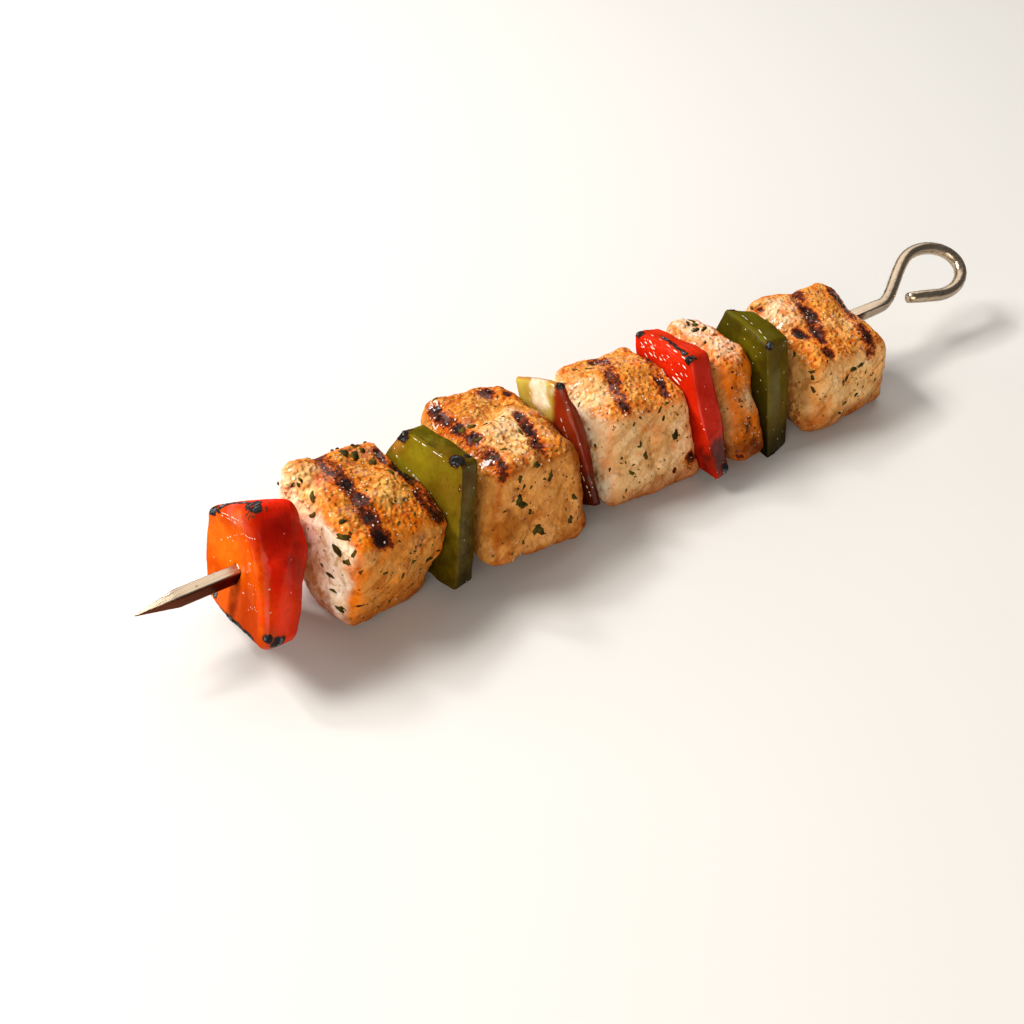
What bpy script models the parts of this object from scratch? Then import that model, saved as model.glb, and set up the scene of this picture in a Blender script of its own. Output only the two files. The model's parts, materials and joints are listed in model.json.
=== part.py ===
"""Chicken kebab on a steel skewer: five pieces of chicken breast and five
slices of pepper, threaded along +X from the pointed tip to the ring handle.
Sizes are in millimetres and turned into metres where the meshes are made."""
import math

import bmesh
import bpy
from mathutils import Euler, Vector

MM = 0.001

# ---------------------------------------------------------------- skewer
ROD_Y = 1.6             # the rod runs a little to the far side of the middle
ROD_Z = 15.5            # height of the rod's axis over the resting plane
ROD_SIDE = 3.15         # square bar
ROD_ROLL = 8.0          # degrees the bar has turned about its own length
ROD_EDGE = 0.35         # radius of the bar's long edges
TIP_X = -130.0
TIP_LENGTH = 9.5        # four-sided point
TIP_BLUNT = 0.1         # the point's end, as a share of the bar
WIRE_RADIUS = 1.8       # the bar is drawn round for its handle
ROUND_FROM = 88.0       # the square bar starts to turn round
ROUND_TO = 98.0         # fully round
BEND_FROM = 93.0        # the handle's first bend begins
EYE_X = 117.2           # middle of the eye
EYE_OUT = 3.8           # how far the eye's middle stands off the rod's axis
EYE_HALF_LENGTH = 11.0
EYE_HALF_WIDTH = 7.9
EYE_TILT = 28.0         # degrees the eye's far side is lifted
EYE_START = 125.0       # degrees round the eye where the bend joins it
EYE_STOP = -110.0       # and where the straight end leaves it
BEND_LEAD = 4.5         # how far the bend runs on along the rod
BEND_ARRIVE = 7.7       # and how far it runs in along the eye's tangent
END_RUN = 10.2          # straight end of the wire
EYE_STATIONS = 30
BEND_STATIONS = 9
ARC_POINTS = 16         # points round the bar's outline

# ---------------------------------------------------------------- food
GAP = 0.4               # air between neighbours
BORE_GAP = 0.3          # air between food and skewer
BORE_LENGTH = 60.0
CHICKEN_EDGE = 3.0      # softness of a chicken piece's edges
PEPPER_EDGE = 1.3       # a cut pepper's edges are sharper
CHICKEN_CELLS = 8       # cells along each side of a piece's surface
PEPPER_CELLS = 8
FLAT_SHARE = 0.5        # share of each side that is flat, the rest rounds over
MIDDLE_X = -35.1        # from the place where the sizes were taken to the origin
MIDDLE_Y = 0.2

# Each piece: middle, size along / across / up, and turn about X, Y, Z.
# end_w, end_h: how much narrower and lower the ring end is than the tip end.
# top_w, top_l: how much narrower and shorter the top is than the foot.
# lean, slope: how far the top is pushed away, and how far the far side is
# raised. puff: how far each side swells along / across / up. cup: how far
# the tip-side face is hollowed. dome: how far the ring-side face stands out.
# waves: unevenness and where it starts.
RED_PEPPER_1 = dict(
    at=(-68.6, -0.8, 18.7), size=(10.2, 20.6, 20.6), turn=(21, 16, -4),
    end_w=0.09, end_h=-0.07, top_w=0.26, top_l=-0.06, lean=8.6, slope=-10.2,
    puff=(1.2, 1.8, 0.6), cup=3.6, dome=4.5, waves=(0.25, 0.4))
CHICKEN_1 = dict(
    at=(-42.6, -1.2, 15.3), size=(26.0, 30.2, 26.0), turn=(2, 11, 11),
    end_w=0.03, end_h=0.05, top_w=0.01, top_l=-0.06, lean=-1.3, slope=1.8,
    puff=(2.6, 0.8, 1.6), cup=0.0, dome=0.0, waves=(0.6, 1.9))
GREEN_PEPPER_1 = dict(
    at=(-26.4, -3.0, 18.8), size=(7.4, 28.0, 31.4), turn=(-3, 10, 11),
    end_w=0.04, end_h=0.0, top_w=0.34, top_l=-0.05, lean=-3.2, slope=0.4,
    puff=(0.8, 0.5, 0.4), cup=0.5, dome=3.6, waves=(0.25, 0.9))
CHICKEN_2 = dict(
    at=(-2.8, 0.6, 14.5), size=(26.6, 35.0, 26.0), turn=(-8, 5, -3),
    end_w=0.09, end_h=-0.04, top_w=0.01, top_l=0.16, lean=1.3, slope=1.1,
    puff=(3.6, 0.8, 1.0), cup=0.0, dome=0.0, waves=(0.6, 3.1))
MIXED_PEPPER = dict(
    at=(12.9, 0.0, 17.0), size=(2.2, 19.6, 29.6), turn=(-15, 1, 1),
    end_w=-0.07, end_h=0.0, top_w=0.02, top_l=0.0, lean=4.6, slope=-1.6,
    puff=(1.2, 0.4, 0.4), cup=-0.2, dome=3.4, waves=(0.15, 2.3))
CHICKEN_3 = dict(
    at=(34.6, 1.2, 12.8), size=(28.4, 27.0, 25.6), turn=(-8, 2, -2),
    end_w=0.01, end_h=0.0, top_w=0.04, top_l=0.12, lean=1.7, slope=1.3,
    puff=(3.6, 0.8, 1.6), cup=0.0, dome=0.0, waves=(0.6, 4.4))
RED_PEPPER_2 = dict(
    at=(50.0, -3.4, 16.0), size=(7.4, 23.6, 29.2), turn=(-4, 4, -1),
    end_w=0.06, end_h=0.01, top_w=0.10, top_l=0.01, lean=5.4, slope=-1.2,
    puff=(0.8, 0.4, 0.4), cup=0.4, dome=1.6, waves=(0.25, 5.0))
CHICKEN_4 = dict(
    at=(63.2, -1.2, 13.7), size=(11.8, 24.6, 27.4), turn=(-4, 2, 0),
    end_w=0.07, end_h=0.02, top_w=0.14, top_l=0.0, lean=5.2, slope=0.0,
    puff=(2.2, 1.0, 0.6), cup=0.0, dome=0.0, waves=(0.6, 0.7))
GREEN_PEPPER_2 = dict(
    at=(74.9, -2.1, 14.6), size=(9.4, 24.8, 29.0), turn=(6, 4, -5),
    end_w=0.12, end_h=0.05, top_w=0.34, top_l=0.03, lean=1.6, slope=-0.4,
    puff=(1.0, 1.0, 0.5), cup=0.4, dome=3.2, waves=(0.25, 1.4))
CHICKEN_5 = dict(
    at=(98.0, -2.5, 12.9), size=(29.4, 31.8, 20.4), turn=(6, 2, 0),
    end_w=0.05, end_h=0.06, top_w=0.09, top_l=0.05, lean=0.5, slope=1.8,
    puff=(2.6, 0.8, 1.4), cup=0.0, dome=0.0, waves=(0.6, 2.6))

# Seams between neighbours: where the seam crosses the rod, then how far it
# runs along X for each millimetre across and for each millimetre up.
SEAM_1 = (-58.6, -0.22, 0.16)
SEAM_2 = (-31.0, -0.20, 0.22)
SEAM_3 = (-19.4, -0.05, 0.22)
SEAM_4 = (10.8, 0.01, -0.02)
SEAM_5 = (17.0, 0.01, 0.09)
SEAM_6 = (46.9, 0.03, -0.09)
SEAM_7 = (55.6, 0.01, 0.05)
SEAM_8 = (69.8, 0.04, 0.07)
SEAM_9 = (81.5, 0.03, 0.08)
OPEN_TIP = (-500.0, 0.0, 0.0)
OPEN_RING = (500.0, 0.0, 0.0)


def clear_scene():
    for thing in list(bpy.data.objects):
        bpy.data.objects.remove(thing, do_unlink=True)


def material(name, colour, roughness, metallic=0.0):
    made = bpy.data.materials.new(name)
    made.use_nodes = True
    shader = made.node_tree.nodes["Principled BSDF"]
    shader.inputs["Base Color"].default_value = (*colour, 1.0)
    shader.inputs["Roughness"].default_value = roughness
    shader.inputs["Metallic"].default_value = metallic
    return made


def add_object(name, mesh, look):
    thing = bpy.data.objects.new(name, mesh)
    bpy.context.collection.objects.link(thing)
    mesh.materials.append(look)
    return thing


# ---------------------------------------------------------------- food pieces
def soft_corner(share, half, edge):
    """Splits a place on a side into its flat run and its turn over the edge."""
    side = math.copysign(1.0, share)
    run = abs(share)
    if run <= FLAT_SHARE:
        return side * run / FLAT_SHARE * (half - edge), 0.0
    return side * (half - edge), side * (run - FLAT_SHARE) / (1.0 - FLAT_SHARE)


def soft_box(place, half, edge):
    """Moves a point of a cube reaching from -1 to 1 onto a soft-edged box."""
    flat = Vector()
    over = Vector()
    for i in range(3):
        flat[i], turn = soft_corner(place[i], half[i], edge)
        over[i] = math.tan(turn * math.pi / 4)
    return flat + over.normalized() * edge


def swell(point, half, puff):
    """Rounds each side outwards, most in its middle."""
    share = Vector(point[i] / half[i] for i in range(3))
    out = Vector()
    for i in range(3):
        j, k = (i + 1) % 3, (i + 2) % 3
        out[i] = puff[i] * share[i] * (1 - share[j] ** 2) * (1 - share[k] ** 2)
    return point + out


def uneven(point, waves):
    """Low swells that keep a piece from looking machined."""
    depth, start = waves
    return depth * (math.sin(0.31 * point.y + 1.7 * start)
                    * math.sin(0.27 * point.z + 2.3 * start)
                    + 0.5 * math.sin(0.43 * point.x + 3.1 * start)
                    * math.sin(0.53 * point.y + 0.9 * start))


def shaped(place, size, turn, at, end_w, end_h, top_w, top_l, lean, slope,
           puff, cup, dome, waves, edge):
    half = Vector(side / 2 for side in size)
    point = swell(soft_box(place, half, edge), half, puff)
    along, across, up = (point[i] / half[i] for i in range(3))
    middle = (1 - min(1, across ** 2)) * (1 - min(1, up ** 2))
    point.x += (cup if along < 0 else dome) * middle * abs(along)
    point.x *= 1 - top_l * up
    point.y *= (1 - end_w * along) * (1 - top_w * up)
    point.z *= 1 - end_h * along
    point.y += lean * up
    point.z += slope * across
    point *= 1 + uneven(point, waves) / point.length
    point.rotate(Euler([math.radians(angle) for angle in turn], "XZY"))
    return point + Vector(at)


def seam_x(seam, point):
    crossing, across, up = seam
    return crossing + across * (point.y - ROD_Y + MIDDLE_Y) + up * (point.z - ROD_Z)


def pressed(point, tip_seam, ring_seam):
    """Neighbours are pressed flat against the seam between them, and the
    feet rest on the plane below."""
    point.x = max(point.x, seam_x(tip_seam, point) + GAP / 2)
    point.x = min(point.x, seam_x(ring_seam, point) - GAP / 2)
    point.z = max(point.z, 0.0)
    return point


def food_mesh(name, sizes, edge, cells, tip_seam, ring_seam):
    shape = bmesh.new()
    bmesh.ops.create_cube(shape, size=2)
    bmesh.ops.subdivide_edges(shape, edges=shape.edges[:], cuts=cells - 1,
                              use_grid_fill=True)
    for vertex in shape.verts:
        point = shaped(vertex.co.copy(), edge=edge, **sizes)
        point = pressed(point, tip_seam, ring_seam)
        vertex.co = (point + Vector((MIDDLE_X, MIDDLE_Y, 0))) * MM
    bmesh.ops.recalc_face_normals(shape, faces=shape.faces[:])
    mesh = bpy.data.meshes.new(name)
    shape.to_mesh(mesh)
    shape.free()
    return mesh


def bore_cutter(at_x):
    """A square bar a little thicker than the skewer, for the food's bore."""
    side = ROD_SIDE + 2 * BORE_GAP
    shape = bmesh.new()
    bmesh.ops.create_cube(shape, size=1)
    for vertex in shape.verts:
        point = Vector((vertex.co.x * BORE_LENGTH, vertex.co.y * side, vertex.co.z * side))
        point.rotate(Euler((math.radians(ROD_ROLL), 0, 0)))
        vertex.co = (point + Vector((at_x + MIDDLE_X, ROD_Y, ROD_Z))) * MM
    mesh = bpy.data.meshes.new("bore_cutter")
    shape.to_mesh(mesh)
    shape.free()
    cutter = bpy.data.objects.new("bore_cutter", mesh)
    bpy.context.collection.objects.link(cutter)
    cutter.hide_render = True
    cutter.display_type = "WIRE"
    return cutter


def bore(piece, at_x):
    cutter = bore_cutter(at_x)
    cut = piece.modifiers.new("bore", "BOOLEAN")
    cut.operation = "DIFFERENCE"
    cut.solver = "EXACT"
    cut.object = cutter


def food(name, sizes, edge, cells, seams, look):
    piece = add_object(name, food_mesh(name, sizes, edge, cells, *seams), look)
    bore(piece, sizes["at"][0])
    return piece


def chicken(name, sizes, seams, look):
    return food(name, sizes, CHICKEN_EDGE, CHICKEN_CELLS, seams, look)


def pepper(name, sizes, seams, look, edge=PEPPER_EDGE):
    return food(name, sizes, edge, PEPPER_CELLS, seams, look)


# ---------------------------------------------------------------- skewer
def bar_outline():
    """Points round the square bar, three on each rounded edge and one in the
    middle of each side, from angle 0 round to 360."""
    half = ROD_SIDE / 2
    quarter = [(half, 0.0)]
    for step in range(3):
        angle = math.radians(45 * step)
        quarter.append((half - ROD_EDGE + ROD_EDGE * math.cos(angle),
                        half - ROD_EDGE + ROD_EDGE * math.sin(angle)))
    points = []
    for turn in range(4):
        c, s = math.cos(turn * math.pi / 2), math.sin(turn * math.pi / 2)
        points += [Vector((c * y - s * z, s * y + c * z)) for y, z in quarter]
    return points


def wire_outline():
    return [Vector((math.cos(2 * math.pi * i / ARC_POINTS),
                    math.sin(2 * math.pi * i / ARC_POINTS))) * WIRE_RADIUS
            for i in range(ARC_POINTS)]


def eye_point(angle):
    """A place on the eye: along the rod, and out from its axis."""
    return Vector((EYE_X + EYE_HALF_LENGTH * math.cos(angle),
                   EYE_OUT + EYE_HALF_WIDTH * math.sin(angle)))


def eye_heading(angle):
    way = Vector((EYE_HALF_LENGTH * math.sin(angle), -EYE_HALF_WIDTH * math.cos(angle)))
    return way.normalized()


def bend_points():
    """The handle's first bend, an S from the rod's axis onto the eye."""
    start = math.radians(EYE_START)
    a = Vector((BEND_FROM, 0.0))
    b = a + Vector((BEND_LEAD, 0.0))
    d = eye_point(start)
    c = d - eye_heading(start) * BEND_ARRIVE
    points = []
    for step in range(BEND_STATIONS):
        t = step / BEND_STATIONS
        points.append(a * (1 - t) ** 3 + b * 3 * t * (1 - t) ** 2
                      + c * 3 * t * t * (1 - t) + d * t ** 3)
    return points


def handle_points():
    start, stop = math.radians(EYE_START), math.radians(EYE_STOP)
    angles = [start + (stop - start) * i / EYE_STATIONS for i in range(EYE_STATIONS + 1)]
    eye = [eye_point(angle) for angle in angles]
    end = [eye[-1] + eye_heading(stop) * END_RUN * share for share in (0.5, 1.0)]
    return bend_points() + eye + end


def skewer_path():
    """Stations along the axis: along X, and out in the tilted handle plane."""
    tip = [Vector((TIP_X, 0)), Vector((TIP_X + TIP_LENGTH, 0))]
    straight = [Vector((x, 0)) for x in (-60.0, 0.0, 60.0, ROUND_FROM)]
    return tip + straight + handle_points()


def station_frame(path, i):
    """Heading and sideways direction at a station, in the handle plane."""
    before, after = path[max(i - 1, 0)], path[min(i + 1, len(path) - 1)]
    way = (after - before).normalized()
    return way, Vector((-way.y, way.x))


def placed(along, out, lift):
    """From the handle plane to where the skewer lies."""
    tilt = math.radians(EYE_TILT)
    return Vector((along,
                   ROD_Y + out * math.cos(tilt) - lift * math.sin(tilt),
                   ROD_Z + out * math.sin(tilt) + lift * math.cos(tilt)))


def skewer_mesh(name):
    path = skewer_path()
    square, wire = bar_outline(), wire_outline()
    roll = math.radians(ROD_ROLL - EYE_TILT)
    shape = bmesh.new()
    rings = []
    for i, middle in enumerate(path):
        _, side = station_frame(path, i)
        roundness = min(1, max(0, (middle.x - ROUND_FROM) / (ROUND_TO - ROUND_FROM)))
        if i > len(path) - EYE_STATIONS:
            roundness = 1
        scale = TIP_BLUNT if i == 0 else 1
        ring = []
        for corner, curve in zip(square, wire):
            point = (corner.lerp(curve, roundness) * scale)
            across = point.x * math.cos(roll) - point.y * math.sin(roll)
            up = point.x * math.sin(roll) + point.y * math.cos(roll)
            spot = middle + side * across
            ring.append(shape.verts.new(placed(spot.x, spot.y, up) * MM))
        rings.append(ring)
    for first, second in zip(rings, rings[1:]):
        for j in range(ARC_POINTS):
            k = (j + 1) % ARC_POINTS
            shape.faces.new((first[j], first[k], second[k], second[j]))
    for ring in (rings[0], rings[-1]):
        shape.faces.new(ring)
    bmesh.ops.recalc_face_normals(shape, faces=shape.faces[:])
    mesh = bpy.data.meshes.new(name)
    shape.to_mesh(mesh)
    shape.free()
    return mesh


def skewer(look):
    return add_object("skewer", skewer_mesh("skewer"), look)


# ---------------------------------------------------------------- the whole
def build():
    clear_scene()
    steel = material("steel", (0.52, 0.47, 0.40), 0.28, 1.0)
    flesh = material("chicken", (0.72, 0.42, 0.16), 0.45)
    red = material("red_pepper", (0.58, 0.03, 0.01), 0.25)
    green = material("green_pepper", (0.16, 0.15, 0.01), 0.28)
    mixed = material("mixed_pepper", (0.34, 0.13, 0.03), 0.28)
    skewer(steel)
    pepper("red_pepper_1", RED_PEPPER_1, (OPEN_TIP, SEAM_1), red, 2.0)
    chicken("chicken_1", CHICKEN_1, (SEAM_1, SEAM_2), flesh)
    pepper("green_pepper_1", GREEN_PEPPER_1, (SEAM_2, SEAM_3), green)
    chicken("chicken_2", CHICKEN_2, (SEAM_3, SEAM_4), flesh)
    pepper("mixed_pepper", MIXED_PEPPER, (SEAM_4, SEAM_5), mixed, 0.8)
    chicken("chicken_3", CHICKEN_3, (SEAM_5, SEAM_6), flesh)
    pepper("red_pepper_2", RED_PEPPER_2, (SEAM_6, SEAM_7), red)
    chicken("chicken_4", CHICKEN_4, (SEAM_7, SEAM_8), flesh)
    pepper("green_pepper_2", GREEN_PEPPER_2, (SEAM_8, SEAM_9), green)
    chicken("chicken_5", CHICKEN_5, (SEAM_9, OPEN_RING), flesh)


build()
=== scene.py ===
"""Chicken kebab on a ring-handled steel skewer, lying on a pale floor."""
import json
import math
import random

import bmesh
import bpy
from mathutils import Euler, Matrix, Vector, bvhtree, noise

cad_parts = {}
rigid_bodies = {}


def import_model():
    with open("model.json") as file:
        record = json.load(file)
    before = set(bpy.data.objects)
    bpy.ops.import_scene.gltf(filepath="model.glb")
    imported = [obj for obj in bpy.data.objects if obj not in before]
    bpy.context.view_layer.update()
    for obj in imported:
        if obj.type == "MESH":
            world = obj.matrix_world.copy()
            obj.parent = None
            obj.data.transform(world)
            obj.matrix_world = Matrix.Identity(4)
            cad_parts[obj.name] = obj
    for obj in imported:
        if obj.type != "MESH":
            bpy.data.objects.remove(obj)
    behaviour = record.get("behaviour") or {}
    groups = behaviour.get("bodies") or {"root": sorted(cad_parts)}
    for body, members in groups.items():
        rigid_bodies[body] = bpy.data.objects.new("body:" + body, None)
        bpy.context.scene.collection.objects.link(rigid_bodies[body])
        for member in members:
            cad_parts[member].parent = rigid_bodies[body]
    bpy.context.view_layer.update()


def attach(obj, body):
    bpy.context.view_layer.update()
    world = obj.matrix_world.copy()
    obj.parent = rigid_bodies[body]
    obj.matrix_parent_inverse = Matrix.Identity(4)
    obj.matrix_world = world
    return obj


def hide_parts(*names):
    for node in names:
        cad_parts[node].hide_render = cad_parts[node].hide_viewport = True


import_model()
MM = 0.001

# ---------------- skewer
# A 3 mm square bar of stainless steel, ground to a four-sided point and drawn
# round at the far end, where it is bent into an open ring for a handle. The
# food is threaded on it, so it is laid first. Sizes are in millimetres.
ROD_Y, ROD_Z = 1.6, 15.5
ROD_SIDE, ROD_EDGE, ROD_ROLL = 3.15, 0.32, 8.0
TIP_X, TIP_LENGTH, TIP_BLUNT = -130.0, 9.5, 0.05
WIRE_RADIUS, WIRE_SIDES = 1.8, 48
ROUND_FROM, ROUND_TO = 88.0, 98.0
BEND_FROM, BEND_LEAD, BEND_ARRIVE = 93.0, 4.5, 7.7
EYE_X, EYE_OUT, EYE_LONG, EYE_WIDE, EYE_TILT = 117.2, 3.8, 11.0, 7.9, 28.0
EYE_START, EYE_STOP, END_RUN = math.radians(125), math.radians(-110), 10.2
TIP_STEPS, BEND_STEPS, EYE_STEPS, END_STEPS = 10, 24, 90, 4
BAR_STEPS = (*range(-118, 90, 4), 90, 92)
END_TAPER = (1, 0.985, 0.94, 0.82)  # of the last four sections


def eye_point(angle):
    return Vector((EYE_X + EYE_LONG * math.cos(angle),
                   EYE_OUT + EYE_WIDE * math.sin(angle)))


def eye_heading(angle):
    return Vector((EYE_LONG * math.sin(angle), -EYE_WIDE * math.cos(angle))).normalized()


def handle_line():
    """The bend, the eye and the straight end, as close places on one line."""
    a, d = Vector((BEND_FROM, 0)), eye_point(EYE_START)
    b, c = a + Vector((BEND_LEAD, 0)), d - eye_heading(EYE_START) * BEND_ARRIVE
    line = []
    for i in range(BEND_STEPS):
        t = i / BEND_STEPS
        line.append(a * (1 - t) ** 3 + b * 3 * t * (1 - t) ** 2
                    + c * 3 * t * t * (1 - t) + d * t ** 3)
    for i in range(EYE_STEPS + 1):
        line.append(eye_point(EYE_START + (EYE_STOP - EYE_START) * i / EYE_STEPS))
    eye_end = line[-1]
    for i in range(1, END_STEPS + 1):
        line.append(eye_end + eye_heading(EYE_STOP) * END_RUN * i / END_STEPS)
    return line


def skewer_line():
    tip = [Vector((TIP_X + TIP_LENGTH * i / TIP_STEPS, 0)) for i in range(TIP_STEPS + 1)]
    return tip + [Vector((x, 0)) for x in BAR_STEPS] + handle_line()


def in_handle_plane(along, out, lift):
    """A place in the frame, from one in the tilted plane that the handle is bent in."""
    tilt = math.radians(EYE_TILT)
    return Vector((along, ROD_Y + out * math.cos(tilt) - lift * math.sin(tilt),
                   ROD_Z + out * math.sin(tilt) + lift * math.cos(tilt))) * MM


def bar_section(point, roundness):
    """Draws a point of a round outline out to the rounded square bar."""
    flat = ROD_SIDE / 2 - ROD_EDGE
    reach = max(abs(point.x), abs(point.y))
    on_square = point * ((flat + ROD_EDGE) / reach)
    core = Vector((max(-flat, min(flat, on_square.x)), max(-flat, min(flat, on_square.y))))
    square = core + (on_square - core).normalized() * ROD_EDGE
    return square.lerp(point * WIRE_RADIUS, roundness)


def make_skewer():
    """Extrudes one section along the bar, from the point to the ring's end."""
    line = skewer_line()
    shape = bmesh.new()
    bmesh.ops.create_circle(shape, cap_ends=True, segments=WIRE_SIDES, radius=1)
    face = shape.faces[:][0]
    outline = [Vector(v.co[:2]) for v in face.verts]
    roll = Matrix.Rotation(math.radians(ROD_ROLL - EYE_TILT), 2)
    last = len(line) - 1
    for i, middle in enumerate(line):
        if i:
            face = bmesh.ops.extrude_discrete_faces(shape, faces=[face])["faces"][0]
        way = (line[min(i + 1, last)] - line[max(i - 1, 0)]).normalized()
        side = Vector((-way.y, way.x))
        roundness = min(1, max(0, (middle.x - ROUND_FROM) / (ROUND_TO - ROUND_FROM)))
        taper = min(1.0, TIP_BLUNT + (1 - TIP_BLUNT) * (middle.x - TIP_X) / TIP_LENGTH)
        if last - i < len(END_TAPER):
            taper = END_TAPER[i - last - 1]
        for vertex, point in zip(face.verts, outline):
            spot = roll @ (bar_section(point, roundness) * taper)
            place = middle + side * spot.x
            vertex.co = in_handle_plane(place.x, place.y, spot.y)
    bmesh.ops.recalc_face_normals(shape, faces=shape.faces[:])
    return finished("skewer_bar", shape)


def finished(name, shape, smooth=True):
    """Turns a bmesh into a piece of the kebab."""
    mesh = bpy.data.meshes.new(name)
    shape.to_mesh(mesh)
    shape.free()
    mesh.polygons.foreach_set("use_smooth", [smooth] * len(mesh.polygons))
    piece = bpy.data.objects.new(name, mesh)
    bpy.context.collection.objects.link(piece)
    return piece


class Nodes:
    """Short names for building a node material."""

    def __init__(self, name):
        self.material = bpy.data.materials.new(name)
        self.material.use_nodes = True
        self.tree = self.material.node_tree
        self.shader = self.tree.nodes["Principled BSDF"]
        self.place = self.add("ShaderNodeTexCoord").outputs["Object"]

    def add(self, kind, inputs=None, **settings):
        node = self.tree.nodes.new(kind)
        for key, value in settings.items():
            setattr(node, key, value)
        for key, value in (inputs or {}).items():
            self.put(node.inputs[key], value)
        return node

    def put(self, socket, value):
        if isinstance(value, bpy.types.NodeSocket):
            self.tree.links.new(value, socket)
        elif isinstance(value, tuple) and socket.type == "RGBA":
            socket.default_value = (*value, 1.0)
        else:
            socket.default_value = value

    def math(self, operation, a, b):
        return self.add("ShaderNodeMath", {0: a, 1: b}, operation=operation).outputs[0]

    def plus(self, value, *others):
        for other in others:
            value = self.math("ADD", value, other)
        return value

    def times(self, value, *others):
        for other in others:
            value = self.math("MULTIPLY", value, other)
        return value

    def swing(self, pattern, strength):
        """How far a pattern is above or below its middle, times a strength."""
        return self.times(self.math("SUBTRACT", pattern, 0.5), strength)

    def ramp(self, value, low, high, to_low=0.0, to_high=1.0):
        """Eases from one value to another as the input passes low to high."""
        node = self.add("ShaderNodeMapRange", {0: value, 1: low, 2: high, 3: to_low, 4: to_high},
                        interpolation_type="SMOOTHSTEP")
        return node.outputs[0]

    def mix(self, share, a, b, kind="MIX"):
        node = self.add("ShaderNodeMix", data_type="RGBA", blend_type=kind, clamp_factor=True)
        self.put(node.inputs[0], share)
        self.put(node.inputs[6], a)
        self.put(node.inputs[7], b)
        return node.outputs[2]

    def dyed(self, tone, share, dye):
        """Stains a share of a tone, as a clear dye would."""
        return self.mix(share, tone, self.mix(1.0, tone, dye, "MULTIPLY"))

    def stretched(self, lengths, turn=(0, 0, 0)):
        """Places for a pattern that is drawn out by these lengths, then turned."""
        return self.add("ShaderNodeMapping", {"Vector": self.place, "Scale": lengths, "Rotation": turn},
                        vector_type="TEXTURE").outputs[0]

    def noise(self, scale, detail=3.0, rough=0.5, vector=None, warp=0.0):
        return self.add("ShaderNodeTexNoise", {
            "Vector": vector or self.place, "Scale": scale, "Detail": detail,
            "Roughness": rough, "Distortion": warp}).outputs["Fac"]

    def cells(self, scale, feature="F1"):
        """Distance from the nearest of many scattered points."""
        return self.add("ShaderNodeTexVoronoi", {"Vector": self.place, "Scale": scale},
                        feature=feature).outputs["Distance"]

    def painted(self, name):
        return self.add("ShaderNodeAttribute", attribute_name=name).outputs["Color"]

    def layer(self, name):
        """The red, green and blue of a painted attribute, as three values."""
        return self.add("ShaderNodeSeparateColor", {0: self.painted(name)}).outputs

    def bump(self, height, strength, distance):
        return self.add("ShaderNodeBump", {"Height": height, "Strength": strength,
                                           "Distance": distance}).outputs[0]

    def finish(self, **values):
        for key, value in values.items():
            self.put(self.shader.inputs[key.replace("_", " ")], value)
        return self.material


def steel_finish():
    n = Nodes("skewer steel")
    drawn = n.noise(260.0, 4.0, 0.6, n.stretched((20.0, 0.25, 0.25)))
    cloud = n.noise(90.0)
    tint = n.mix(n.ramp(cloud, 0.35, 0.65), (0.50, 0.39, 0.28), (0.42, 0.33, 0.24))
    # painted shade and reflection: the bar's near and under sides turn dark brown
    shade_amount = n.plus(n.layer("painted_shade")[0], n.swing(cloud, 0.7))
    tint = n.mix(n.ramp(shade_amount, 0.25, 0.70, 0.0, 0.98), tint, (0.09, 0.016, 0.003))
    specks = n.times(n.ramp(n.cells(420.0), 0.22, 0.10), 0.5)
    tint = n.mix(specks, tint, (0.22, 0.12, 0.06))
    return n.finish(Base_Color=tint, Metallic=1.0, Roughness=n.ramp(drawn, 0.3, 0.7, 0.20, 0.34),
                    Normal=n.bump(drawn, 0.2, 0.0002))


skewer = make_skewer()
# The bar's near and under sides are painted dark brown as shade and reflection, fully along the food and a
# quarter as much on the handle.
painted_shade = skewer.data.color_attributes.new("painted_shade", "FLOAT_COLOR", "POINT")
FOOD_END, HANDLE_SHADE = 85.0, 0.25
for vertex, paint in zip(skewer.data.vertices, painted_shade.data):
    shade_depth = 1.0 if vertex.co.x < FOOD_END * MM else HANDLE_SHADE
    near_or_under = vertex.normal.y + 0.6 * vertex.normal.z < -0.25
    amount = shade_depth if near_or_under else 0.0
    paint.color = (amount, amount, amount, 1.0)
skewer.data.materials.append(steel_finish())
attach(skewer, "root")
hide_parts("skewer")


# ---------------- chicken
# Five pieces of marinated breast, cut square by knife and grilled over bars.
# They are soft-edged and uneven, pale where the knife cut, gold on top, with
# burnt stripes from the grate. Neighbours press flat against each other.
MIDDLE = Vector((-35.1, 0.2, 0.0))  # pieces and seams are set out from here
GAP, BORE_PLAY = 0.4, 0.25
FLAT_SHARE = 0.8  # of a side's cells; the rest turn over its edges
CHICKEN_CELLS, CHICKEN_EDGE = 102, 3.8
OPEN_TIP, OPEN_RING = (-500.0, 0.0, 0.0), (500.0, 0.0, 0.0)
# where each seam between neighbours crosses the bar, and its slant across and up
SEAMS = (OPEN_TIP, (-58.6, -0.22, 0.16), (-31.0, -0.20, 0.22), (-19.4, -0.05, 0.22),
         (10.8, 0.01, -0.02), (17.0, 0.01, 0.09), (46.9, 0.03, -0.09),
         (55.6, 0.01, 0.05), (69.8, 0.04, 0.07), (81.5, 0.03, 0.08), OPEN_RING)
AMBER, FOOT_BROWN = (0.84, 0.20, 0.004), Vector((0.36, 0.080, 0.004))
TURNED_AWAY = dict(far=(0.54, 0.22, 0.055), ring=(0.60, 0.30, 0.10), foot=(0.34, 0.10, 0.015))


def ease(value, low, high):
    share = min(1.0, max(0.0, (value - low) / (high - low)))
    return share * share * (3 - 2 * share)


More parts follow.
